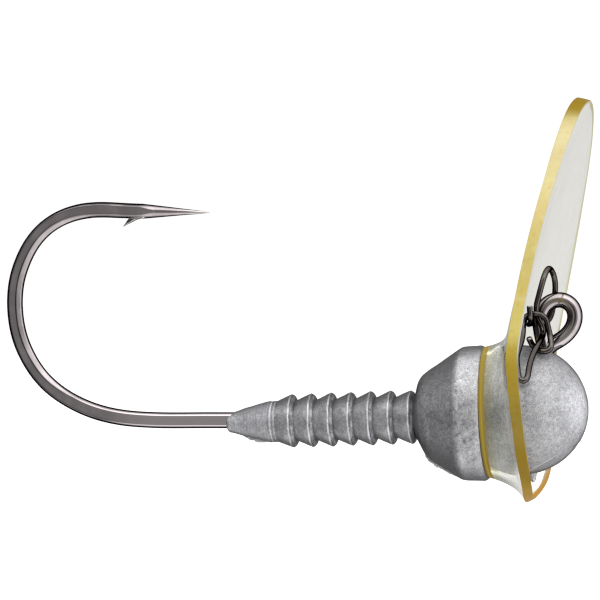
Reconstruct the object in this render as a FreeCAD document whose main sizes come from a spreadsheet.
import FreeCAD, Part
import math
import os
import re
import Sketcher
from FreeCAD import Placement, Rotation, Vector

# Lipped jig head: a hook, the head cast round its shank, an oval lip disc and a wire snap.
# +X runs along the head towards the nose, +Z up towards the line eye, Y across; the part
# is symmetric about Y = 0 apart from the snap.
# The origin is the centre of the hole of the hook's line eye; "behind" means towards -X.

SIZES = [
    # hook
    ("wire_dia", 1.54, "hook wire diameter"),
    ("eye_wire_dia", 1.52, "wire diameter round the line eye"),
    ("forge_thick", 1.28, "hook wire thickness across the forged flats"),
    ("forge_bevel", 0.40, "bevel between a forged flat and the wire's edge"),
    ("barb_width", 0.90, "width of the hook's barb"),
    # head casting
    ("head_axis_drop", 8.80, "head axis below the eye centre"),
    ("ball_radius", 6.36, "ball radius"),
    ("ball_back", 3.61, "ball centre behind the eye centre"),
    ("collar_back", 14.25, "rear face of the collar behind the eye centre"),
    ("collar_face", 7.20, "front face of the collar behind the eye centre"),
    ("collar_radius", 6.68, "radius of the collar's band"),
    ("band_back", 9.45, "rear edge of the collar's band"),
    ("neck_radius", 5.42, "radius of the groove between collar and ball"),
    ("rear_radius", 2.30, "radius of the collar's rear face"),
    ("shoulder_radius", 4.00, "radius where the rear rounding meets the cone"),
    ("keeper_drop", 0.22, "keeper axis below the head axis"),
    ("keeper_root", 2.06, "keeper root radius"),
    ("ridge_radius", 2.66, "radius over a keeper ridge"),
    ("ridge_pitch", 2.01, "spacing of the keeper ridges"),
    ("ridge_rise", 1.50, "length of a ridge's ramp"),
    ("ridge_fall", 0.42, "length of a ridge's front flank"),
    ("first_ridge", 26.83, "crest of the rearmost ridge behind the eye centre"),
    ("tip_back", 33.55, "tip of the keeper behind the eye centre"),
    ("tip_land", 29.25, "front end of the tip cone behind the eye centre"),
    ("tip_radius", 0.84, "radius of the keeper's tip"),
    ("gate_radius", 0.34, "radius of the pour gate's stub"),
    ("gate_length", 0.62, "length of the pour gate's stub below the ball"),
    ("gate_back", 2.97, "pour gate behind the eye centre"),
    # lip disc
    ("lip_thick", 1.00, "lip sheet thickness"),
    ("lip_half_width", 17.40, "half width of the lip"),
    ("lip_top", 21.45, "top of the lip above the eye centre"),
    ("lip_bottom", 17.75, "bottom of the lip below the eye centre"),
    ("lip_hole_radius", 5.50, "inside radius of the lip's stretched hole"),
    ("lip_thinning", 0.25, "how much thinner the stretched sheet is next to the hole"),
    ("lip_seat", 0.05, "gap between the hole's edge and the collar's front face"),
    ("lip_plane", 3.00, "back face of the lip's lower half behind the eye centre"),
    # snap
    ("snap_wire_dia", 0.58, "snap wire diameter"),
]

doc = FreeCAD.newDocument("lipped_jig_head")
sheet = doc.addObject("Spreadsheet::Sheet", "sizes")
for row, (alias, value, note) in enumerate(SIZES, start=1):
    sheet.set("A%d" % row, alias)
    sheet.set("B%d" % row, "%g" % value)
    sheet.set("C%d" % row, note)
    sheet.setAlias("B%d" % row, alias)
doc.recompute()


# ---------------------------------------------------------------- helpers
# Every word in a formula such as "-collar_back + 0.42" is an alias of the sheet.
ALIAS = r"[a-z_]+"


def dim(alias):
    return float(sheet.get(alias))


def bind(formula):
    """The formula as an expression on the sheet."""
    return re.sub(ALIAS, r"<<sizes>>.\g<0>", formula)


def value_of(item):
    """The value of a coordinate, which is a number or a formula."""
    if isinstance(item, str):
        numbers = re.sub(ALIAS, lambda found: "(%r)" % dim(found.group()), item)
        return FreeCAD.Units.Quantity(numbers).Value
    return float(item)


def outline(body, name, points, arcs=None):
    """A closed outline on the body's XZ plane, through (x, z) points. arcs maps the index
    of a side to the x of its circle's centre, which lies on the X axis."""
    arcs = arcs or {}
    sketch = body.newObject("Sketcher::SketchObject", name)
    plane = next(item for item in body.Origin.OriginFeatures if item.Role == "XZ_Plane")
    sketch.AttachmentSupport = [(plane, "")]
    sketch.MapMode = "FlatFace"
    corners = [Vector(value_of(x), value_of(z), 0) for x, z in points]
    count = len(corners)
    for i in range(count):
        start, end = corners[i], corners[(i + 1) % count]
        if i in arcs:
            centre = Vector(value_of(arcs[i]), 0, 0)
            radius = math.hypot(start.x - centre.x, start.y)
            circle = Part.Circle(centre, Vector(0, 0, 1), radius)
            end_angle = math.atan2(end.y, end.x - centre.x)
            start_angle = math.atan2(start.y, start.x - centre.x)
            side = Part.ArcOfCircle(circle, end_angle, start_angle)
        else:
            side = Part.LineSegment(start, end)
        sketch.addGeometry(side, False)

    # A line starts at its point 1. An arc runs anticlockwise, so here it starts at point 2.
    def first(i):
        return 2 if i in arcs else 1

    for i in range(count):
        following = (i + 1) % count
        sketch.addConstraint(Sketcher.Constraint(
            "Coincident", i, 3 - first(i), following, first(following)))
    for i, (x, z) in enumerate(points):
        for kind, item in (("DistanceX", x), ("DistanceY", z)):
            index = sketch.addConstraint(Sketcher.Constraint(
                kind, -1, 1, i, first(i), value_of(item)))
            if isinstance(item, str):
                sketch.setExpression("Constraints[%d]" % index, bind(item))
    for i in arcs:
        sketch.addConstraint(Sketcher.Constraint("PointOnObject", i, 3, -1))
    doc.recompute()
    return sketch


def revolve(body, name, sketch):
    turned = body.newObject("PartDesign::Revolution", name)
    turned.Profile = sketch
    turned.ReferenceAxis = (sketch, ["H_Axis"])
    turned.Angle = 360.0
    doc.recompute()
    return turned


def add_shape(name, shape):
    feature = doc.addObject("Part::Feature", name)
    feature.Shape = shape
    return feature


def fuse(name, parts):
    fused = doc.addObject("Part::MultiFuse", name)
    fused.Shapes = parts
    fused.Refine = False
    doc.recompute()
    return fused


def spline(points, **options):
    curve = Part.BSplineCurve()
    curve.interpolate(Points=points, **options)
    return curve


def in_plane(points):
    """Vectors at Y = 0 from (x, z) pairs."""
    return [Vector(x, 0, z) for x, z in points]


def round_sweep(name, curve, diameter_alias):
    """Round wire along a curve."""
    path = add_shape(name + "_path", Part.Wire([curve.toShape()]))
    section = doc.addObject("Part::Circle", name + "_section")
    section.setExpression("Radius", bind(diameter_alias + " / 2"))
    start = curve.FirstParameter
    facing = Rotation(Vector(0, 0, 1), Vector(*curve.tangent(start)[0]))
    section.Placement = Placement(curve.value(start), facing)
    doc.recompute()
    sweep = doc.addObject("Part::Sweep", name)
    sweep.Sections = [section]
    sweep.Spine = (path, ["Edge1"])
    sweep.Solid = True
    sweep.Frenet = False
    doc.recompute()
    return sweep


# ---------------------------------------------------------------- hook
# Where the forged bend and the round stem meet inside the keeper, and where the stem and
# the tail meet at the top of the eye: (x, z).
SHANK_JOINT = (-31.0, -8.84)
EYE_JOINT = (-0.10, 1.92)

# Centre line of the forged wire, back along the shank and round the bend to the needle
# point: x, z, the wire's in-plane width as a share of the full diameter.
BEND = [
    (*SHANK_JOINT, 1), (-33.6, -8.77, 1), (-36.5, -8.68, 1), (-39.2, -8.61, 1),
    (-41.8, -8.52, 1), (-44.30, -8.27, 1), (-46.11, -7.90, 1), (-47.84, -7.32, 1),
    (-49.47, -6.54, 1), (-51.00, -5.56, 1), (-52.36, -4.34, 1), (-53.52, -2.90, 1),
    (-54.42, -1.27, 1), (-55.02, 0.52, 1), (-55.32, 2.42, 1), (-55.33, 4.36, 1),
    (-55.02, 6.30, 1), (-54.35, 8.18, 1), (-53.30, 9.92, 1), (-51.84, 11.38, 1),
    (-50.05, 12.38, 1), (-48.14, 12.90, 1), (-46.17, 13.03, 0.98), (-44.30, 12.90, 0.97),
    (-42.90, 12.77, 0.95), (-41.50, 12.66, 0.94), (-40.30, 12.58, 0.79),
    (-38.70, 12.48, 0.57), (-37.15, 12.38, 0.365), (-35.55, 12.27, 0.19),
    (-34.56, 12.19, 0.03),
]
# Where the needle is thinner than the forging, its width across Y over its in-plane width.
NEEDLE_WIDENING = 1.02

# Barb on the wire's inner (-Z) edge: x, z.
BARB = [
    (-42.76, 12.24), (-43.62, 11.14), (-42.95, 11.46), (-42.38, 11.73), (-41.70, 11.90),
    (-41.20, 12.05), (-41.9, 12.6),
]

# Centre line of the shank inside the lead, the neck bend, the stem and the front of the
# eye: x, z.
STEM = [
    SHANK_JOINT, (-26.0, -8.96), (-20.0, -9.02), (-14.0, -9.02), (-9.0, -8.98),
    (-6.2, -8.72), (-4.1, -7.80), (-2.85, -6.30), (-2.10, -4.60), (-1.35, -3.20),
    (-0.55, -2.42), (0.45, -1.84), (1.34, -1.02), (1.80, 0.06), (1.62, 1.18),
    (0.82, 1.86), EYE_JOINT,
]
# Centre line of the rear of the eye, down to the wire's end against the stem: x, z.
TAIL = [
    EYE_JOINT, (-0.92, 1.52), (-1.44, 0.70), (-1.62, -0.30), (-1.52, -1.32),
    (-1.34, -2.35), (-1.24, -2.80),
]
STEM_START_TANGENT = Vector(1, 0, -0.03)
EYE_JOINT_TANGENT = Vector(-0.97, 0, -0.24)
TAIL_END_TANGENT = Vector(0.10, 0, -0.45)


def forged_section(centre, tangent, share):
    """Eight-sided section of the forged wire: flats across Y, bevels to the edges."""
    across = Vector(0, 1, 0)
    up = across.cross(tangent)
    up.normalize()
    bevel = dim("forge_bevel") * share
    high = 0.5 * dim("wire_dia") * share
    wide = 0.5 * min(dim("forge_thick"), dim("wire_dia") * share * NEEDLE_WIDENING)
    high_in, wide_in = high - bevel, wide - bevel
    offsets = [
        (high, wide_in), (high_in, wide), (-high_in, wide), (-high, wide_in),
        (-high, -wide_in), (-high_in, -wide), (high_in, -wide), (high, -wide_in),
    ]
    corners = [centre + up * rise + across * side for rise, side in offsets]
    return Part.makePolygon(corners + [corners[0]])


def make_bend():
    centre_line = spline(in_plane([(x, z) for x, z, _ in BEND]))
    sections = []
    for x, z, share in BEND:
        place = centre_line.parameter(Vector(x, 0, z))
        tangent = Vector(*centre_line.tangent(place)[0])
        sections.append(forged_section(centre_line.value(place), tangent, share))
    return add_shape("hook_bend", Part.makeLoft(sections, True, False))


def make_barb():
    body = doc.addObject("PartDesign::Body", "hook_barb")
    sketch = outline(body, "barb_outline", BARB)
    pad = body.newObject("PartDesign::Pad", "barb_pad")
    pad.Profile = sketch
    pad.Midplane = True
    pad.setExpression("Length", bind("barb_width"))
    doc.recompute()
    return body


def make_hook():
    bend = make_bend()
    barb = make_barb()
    stem_curve = spline(in_plane(STEM), InitialTangent=STEM_START_TANGENT,
                        FinalTangent=EYE_JOINT_TANGENT)
    tail_curve = spline(in_plane(TAIL), InitialTangent=EYE_JOINT_TANGENT,
                        FinalTangent=TAIL_END_TANGENT)
    stem = round_sweep("hook_stem", stem_curve, "eye_wire_dia")
    tail = round_sweep("hook_tail", tail_curve, "eye_wire_dia")
    return fuse("hook", [bend, barb, stem, tail])


# ---------------------------------------------------------------- head casting
RIDGE_COUNT = 7
RIDGE_INNER_RADIUS = 1.2    # a ridge's profile starts this far out, inside the core

# The profiles are drawn from the X axis and turned about it: x, radius.
NECK_MEETS_BALL = -dim("ball_back") - math.sqrt(dim("ball_radius") ** 2
                                                - dim("neck_radius") ** 2)
HEAD_PROFILE = [
    ("-collar_back", 0.0),
    ("-collar_back", "rear_radius"),
    ("-collar_back + 0.42", "rear_radius + 1.15"),
    ("-collar_back + 0.85", "shoulder_radius"),
    ("-band_back - 0.25", "collar_radius - 0.30"),
    ("-band_back + 0.20", "collar_radius - 0.10"),
    ("-collar_face - 0.30", "collar_radius"),
    ("-collar_face", "collar_radius - 0.22"),
    ("-collar_face", "neck_radius"),
    (NECK_MEETS_BALL, "neck_radius"),
    ("-ball_back + ball_radius", 0.0),
]
BALL_SIDE = 9    # the side of the profile that is an arc
CORE_PROFILE = [
    ("-tip_back", 0.0),
    ("-tip_back", "tip_radius"),
    ("-tip_land", "keeper_root - 0.02"),
    ("-collar_back + 0.3", "keeper_root"),
    ("-collar_back + 0.3", 0.0),
]
RIDGE_PROFILE = [
    ("-first_ridge - ridge_rise", RIDGE_INNER_RADIUS),
    ("-first_ridge - ridge_rise", "keeper_root"),
    ("-first_ridge - 0.14", "ridge_radius - 0.03"),
    ("-first_ridge + 0.04", "ridge_radius"),
    ("-first_ridge + 0.17", "ridge_radius - 0.07"),
    ("-first_ridge + ridge_fall", "keeper_root"),
    ("-first_ridge + ridge_fall", RIDGE_INNER_RADIUS),
]


def make_head():
    """Collar, neck groove and ball."""
    body = doc.addObject("PartDesign::Body", "head_body")
    sketch = outline(body, "head_profile", HEAD_PROFILE, arcs={BALL_SIDE: "-ball_back"})
    revolve(body, "head_turned", sketch)
    body.setExpression("Placement.Base.z", bind("-head_axis_drop"))
    return body


def make_keeper():
    """Bait keeper: tip cone and core, then one saw-tooth ridge repeated along the axis."""
    body = doc.addObject("PartDesign::Body", "keeper_body")
    revolve(body, "core_turned", outline(body, "core_profile", CORE_PROFILE))
    ridge_sketch = outline(body, "ridge_profile", RIDGE_PROFILE)
    ridge = revolve(body, "ridge_turned", ridge_sketch)
    ridges = body.newObject("PartDesign::LinearPattern", "ridges")
    ridges.Originals = [ridge]
    ridges.Direction = (ridge_sketch, ["H_Axis"])
    ridges.setExpression("Length", bind("ridge_pitch * %d" % (RIDGE_COUNT - 1)))
    ridges.Occurrences = RIDGE_COUNT
    body.Tip = ridges
    body.setExpression("Placement.Base.z", bind("-head_axis_drop - keeper_drop"))
    doc.recompute()
    return body


def make_gate():
    """Stub of the pour gate under the ball, reaching 1 mm up past the ball's lowest level."""
    gate = doc.addObject("Part::Cylinder", "gate_stub")
    gate.setExpression("Radius", bind("gate_radius"))
    gate.setExpression("Height", bind("gate_length + 1"))
    gate.setExpression("Placement.Base.x", bind("-gate_back"))
    gate.setExpression("Placement.Base.z", bind("-head_axis_drop - ball_radius - gate_length"))
    return gate


def make_casting(hook):
    """The head, with the room the hook takes up cut out of it."""
    blank = fuse("casting_blank", [make_head(), make_keeper(), make_gate()])
    casting = doc.addObject("Part::Cut", "head_casting")
    casting.Base = blank
    casting.Tool = hook
    casting.Refine = False
    doc.recompute()
    return casting


# ---------------------------------------------------------------- lip disc
# An oval sheet with a round hole. The hole's edge is pulled back against the collar, so
# the sheet flares forward from the neck like a shallow trumpet, quickly below the head and
# slowly above it. Above the head the blade leans forward.
# A point of a face is given by phi, its direction about the head's axis from +Z, and by
# share, which runs from 0 at the hole's edge to 1 at the rim.
AXIS_Z = -dim("head_axis_drop")
HALF_HEIGHT = 0.5 * (dim("lip_top") + dim("lip_bottom"))
MIDDLE_Z = 0.5 * (dim("lip_top") - dim("lip_bottom"))
BACK_HOLE_RADIUS = dim("lip_hole_radius") + dim("lip_thick") * 0.95
HOLE_EDGE_X = -dim("collar_face") + dim("lip_seat")

LEAN_START_Z = -2.8       # height where the forward lean sets in
LEAN_BLEND = 0.6          # softness of the change from upright to leaning
LEAN_SLOPE = 0.222
LEAN_CURVE = 0.0016       # growth of the lean with height squared
SLOW_PART = 0.5           # part of the dish that fades slowly, straight above the head
SLOW_TURN_POWER = 0.8     # how the slow part drops off round the head
SLOW_FADE_POWER = 1.6     # how the slow part drops off towards the rim
QUICK_REACH_TOP = 0.39    # fading length of the quick part, straight above the head
QUICK_REACH_GAIN = 0.91   # what is added to that length straight below the head
THINNING_REACH = 2.5      # fading length of the sheet's thinning
HOLE_MARGIN = 0.002       # least distance of the front face outside the hole's edge
SLOPE_STEP = 1e-4         # step of share and phi for measuring the back face's slope

RING_SHARES = [0.0, 0.015, 0.04, 0.075, 0.12, 0.18, 0.27, 0.40, 0.58, 0.78, 0.92, 1.0]
RING_POINTS = 44
SEWING_TOLERANCE = 0.005


def about_axis(x, radius, phi):
    return Vector(x, radius * math.sin(phi), AXIS_Z + radius * math.cos(phi))


def rim_radius(phi):
    """Distance from the head's axis to the oval rim: the positive root of a quadratic."""
    cosine, sine = math.cos(phi), math.sin(phi)
    offset = AXIS_Z - MIDDLE_Z
    square = (cosine / HALF_HEIGHT) ** 2 + (sine / dim("lip_half_width")) ** 2
    linear = 2 * offset * cosine / HALF_HEIGHT ** 2
    constant = (offset / HALF_HEIGHT) ** 2 - 1
    return (-linear + math.sqrt(linear * linear - 4 * square * constant)) / (2 * square)


def plane_x(z):
    """Back face of the undished sheet: upright below, leaning forward above."""
    height = z - LEAN_START_Z
    leaning = 0.5 * (height + math.sqrt(height * height + LEAN_BLEND))
    return -dim("lip_plane") + LEAN_SLOPE * leaning + LEAN_CURVE * leaning * leaning


def back_point(phi, share):
    from_hole = (rim_radius(phi) - BACK_HOLE_RADIUS) * share
    upward = 0.5 * (1 + math.cos(phi))
    slow = SLOW_PART * upward ** SLOW_TURN_POWER
    reach = QUICK_REACH_TOP + QUICK_REACH_GAIN * (1 - upward)
    dish = slow * (1 - share) ** SLOW_FADE_POWER + (1 - slow) * math.exp(-from_hole / reach)
    point = about_axis(0, BACK_HOLE_RADIUS + from_hole, phi)
    point.x = (1 - dish) * plane_x(point.z) + dish * HOLE_EDGE_X
    return point


def back_normal(phi, share):
    """Unit normal of the back face, pointing forward."""
    inner, outer = max(0.0, share - SLOPE_STEP), min(1.0, share + SLOPE_STEP)
    outward = back_point(phi, outer) - back_point(phi, inner)
    around = back_point(phi + SLOPE_STEP, share) - back_point(phi - SLOPE_STEP, share)
    normal = around.cross(outward)
    normal.normalize()
    return normal if normal.x > 0 else normal * -1


def front_point(phi, share):
    """One thickness in front of the back face, square to it. The stretched sheet is
    thinner next to the hole, and it hugs the back of the ball."""
    hole_radius = dim("lip_hole_radius")
    if share == 0.0:
        return about_axis(HOLE_EDGE_X, hole_radius, phi)
    from_hole = (rim_radius(phi) - BACK_HOLE_RADIUS) * share
    thinning = dim("lip_thinning") * math.exp(-from_hole / THINNING_REACH)
    point = back_point(phi, share) + back_normal(phi, share) * (dim("lip_thick") - thinning)

    ball_centre = Vector(-dim("ball_back"), 0, AXIS_Z)
    from_ball = point - ball_centre
    clear_radius = dim("ball_radius") + dim("lip_seat")
    if from_ball.Length < clear_radius:
        point = ball_centre + from_ball * (clear_radius / from_ball.Length)

    y, z = point.y, point.z - AXIS_Z
    radius = math.hypot(y, z)
    if radius < hole_radius + HOLE_MARGIN:
        grow = (hole_radius + HOLE_MARGIN) / radius
        point = Vector(point.x, y * grow, AXIS_Z + z * grow)
    return point


def lip_ring(point_at, share):
    """Closed curve round a face at a constant share."""
    points = [point_at(2 * math.pi * i / RING_POINTS, share) for i in range(RING_POINTS)]
    return Part.Wire([spline(points, PeriodicFlag=True).toShape()])


def make_lip():
    back_rings = [lip_ring(back_point, share) for share in RING_SHARES]
    front_rings = [lip_ring(front_point, share) for share in RING_SHARES]
    faces = Part.makeLoft(back_rings, False, False).Faces
    faces += Part.makeLoft(front_rings, False, False).Faces
    for i in (-1, 0):    # the rim, then the hole's edge
        faces += Part.makeRuledSurface(back_rings[i].Edges[0], front_rings[i].Edges[0]).Faces
    shell = Part.makeShell(faces)
    shell.sewShape(SEWING_TOLERANCE)
    solid = Part.makeSolid(shell)
    if solid.Volume < 0:
        solid.reverse()
    return add_shape("lip_disc", solid)


# ---------------------------------------------------------------- snap
# Centre line of one length of spring wire: x, y, z. From the first cut end: a short hook,
# behind the line eye to its +Y side, up the +Y leg, over the crown, down the -Y leg, on
# down to the line loop on the ball's -Y side, then back up and round the four-sided lock
# to the second cut end.
SNAP = [
    (-2.25, -2.72, 1.49), (-2.24, -2.76, 1.06), (-2.23, -2.72, 0.52), (-2.25, -2.36, 0.07),
    (-2.44, -1.50, -0.23), (-2.71, -0.40, -0.30), (-2.68, 0.66, -0.27), (-2.25, 1.18, -0.25),
    (-1.63, 1.26, -0.27), (-1.06, 1.24, -0.10), (-0.66, 1.20, 0.45), (-0.42, 1.19, 1.28),
    (-0.19, 1.16, 2.45), (-0.10, 1.05, 3.53), (-0.21, 0.74, 4.49), (-0.51, 0.00, 5.06),
    (-0.85, -0.74, 4.52), (-1.15, -1.10, 3.58), (-1.56, -1.20, 2.23), (-1.79, -1.22, 1.12),
    (-1.64, -1.25, 0.23), (-1.31, -1.30, -0.51), (-1.18, -1.55, -1.15), (-1.31, -2.45, -1.80),
    (-1.63, -3.60, -2.49), (-1.91, -4.42, -3.18), (-2.12, -5.22, -3.97), (-2.22, -5.80, -4.62),
    (-2.26, -6.16, -5.05), (-2.38, -6.42, -5.42), (-2.70, -6.58, -5.60), (-3.02, -6.58, -5.42),
    (-3.17, -6.40, -4.98), (-3.34, -5.74, -4.05), (-3.39, -4.86, -3.21), (-3.24, -3.95, -2.42),
    (-3.10, -3.20, -1.77), (-3.02, -2.55, -0.96), (-2.98, -2.12, -0.14), (-2.66, -1.98, 0.50),
    (-2.04, -1.98, 0.68), (-1.33, -2.02, 0.61), (-0.86, -2.04, 0.21), (-0.64, -2.05, -0.53),
    (-0.45, -2.15, -1.46), (-0.34, -2.40, -2.13), (-0.37, -2.62, -2.62), (-0.68, -2.74, -2.90),
    (-1.13, -2.78, -2.95), (-1.55, -2.76, -2.81), (-1.96, -2.70, -2.50), (-2.24, -2.76, -2.10),
    (-2.41, -3.02, -1.58),
]


def make_snap():
    return round_sweep("snap", spline([Vector(*point) for point in SNAP]), "snap_wire_dia")


# ---------------------------------------------------------------- build, check and export
hook = make_hook()
pieces = [hook, make_casting(hook), make_lip(), make_snap()]
doc.recompute()

failed = [item.Name for item in doc.Objects if "Invalid" in item.State or "Error" in item.State]
if failed:
    raise RuntimeError("features failed: %s" % failed)
for piece in pieces:
    shape = piece.Shape
    if shape.isNull() or not shape.isValid() or len(shape.Solids) != 1 or shape.Volume <= 0:
        raise RuntimeError("bad shape: " + piece.Label)
os.makedirs("parts", exist_ok=True)
for piece in pieces:
    piece.Shape.exportStep("parts/%s.step" % piece.Label)
